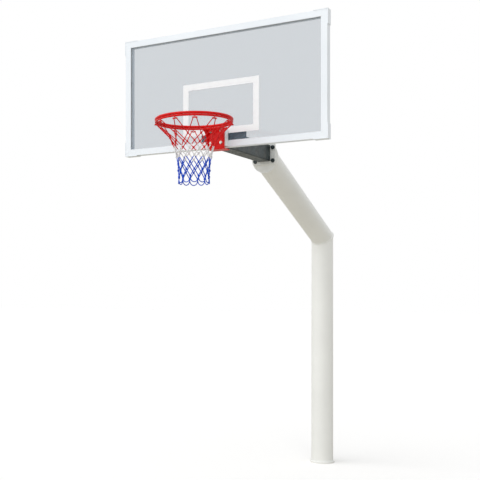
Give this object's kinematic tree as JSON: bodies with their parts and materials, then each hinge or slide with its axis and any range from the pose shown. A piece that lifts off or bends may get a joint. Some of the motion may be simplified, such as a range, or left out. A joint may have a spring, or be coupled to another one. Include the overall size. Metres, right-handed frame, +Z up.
{
  "type": "in-ground basketball hoop",
  "caption": "Bent round post set in the ground, carrying a framed clear backboard, a fixed red rim and a knotted cord net in three colours.",
  "frame": {"origin": "on the ground line, at the axis of the upright post", "axes": "+Z up; -Y is the court side that the board and rim face; +X is to the right for someone who faces the board"},
  "size_m": [1.8106, 3.1524, 4.4806],
  "materials": {
    "white_powder_coat": "satin white powder coat",
    "white_frame": "satin cool-white powder coat",
    "galvanised_steel": "dark blue-grey galvanised",
    "zinc_bolt": "zinc plated",
    "clear_panel": "smooth, clear with a light grey cast",
    "black_gasket": "matt",
    "white_line": "plain white",
    "red_enamel": "glossy red enamel",
    "red_cord": "twisted cord",
    "white_cord": "twisted cord",
    "blue_cord": "twisted cord"
  },
  "bodies": {
    "root": {"arm_flange": "white_powder_coat", "arm_tube": "white_powder_coat", "bracket_flange": "white_powder_coat", "flange_weld": "white_powder_coat", "ground_collar": "white_powder_coat", "mitre_weld": "white_powder_coat", "post_tube": "white_powder_coat", "corner_cap_bottom_left": "white_frame", "corner_cap_bottom_right": "white_frame", "corner_cap_top_left": "white_frame", "corner_cap_top_right": "white_frame", "frame_bottom": "white_frame", "frame_left": "white_frame", "frame_right": "white_frame", "frame_top": "white_frame", "board_plate": "galvanised_steel", "bracket_beam": "galvanised_steel", "flange_bolt_1": "galvanised_steel", "flange_bolt_2": "galvanised_steel", "flange_bolt_3": "galvanised_steel", "flange_bolt_4": "galvanised_steel", "ground_sleeve": "galvanised_steel", "panel_bush_left": "zinc_bolt", "panel_bush_right": "zinc_bolt", "rim_bolt_1": "zinc_bolt", "rim_bolt_2": "zinc_bolt", "rim_bolt_3": "zinc_bolt", "rim_bolt_4": "zinc_bolt", "panel": "clear_panel", "panel_gasket": "black_gasket", "spacer_pad": "black_gasket", "rim_spacer": "white_line", "target_square": "white_line", "net_hook_01": "red_enamel", "net_hook_02": "red_enamel", "net_hook_03": "red_enamel", "net_hook_04": "red_enamel", "net_hook_05": "red_enamel", "net_hook_06": "red_enamel", "net_hook_07": "red_enamel", "net_hook_08": "red_enamel", "net_hook_09": "red_enamel", "net_hook_10": "red_enamel", "net_hook_11": "red_enamel", "net_hook_12": "red_enamel", "net_rail": "red_enamel", "rim_flange": "red_enamel", "rim_gusset_left": "red_enamel", "rim_gusset_right": "red_enamel", "rim_plate": "red_enamel", "rim_ring": "red_enamel", "net_red": "red_cord", "net_white": "white_cord", "net_blue": "blue_cord"}
  },
  "joints": []
}
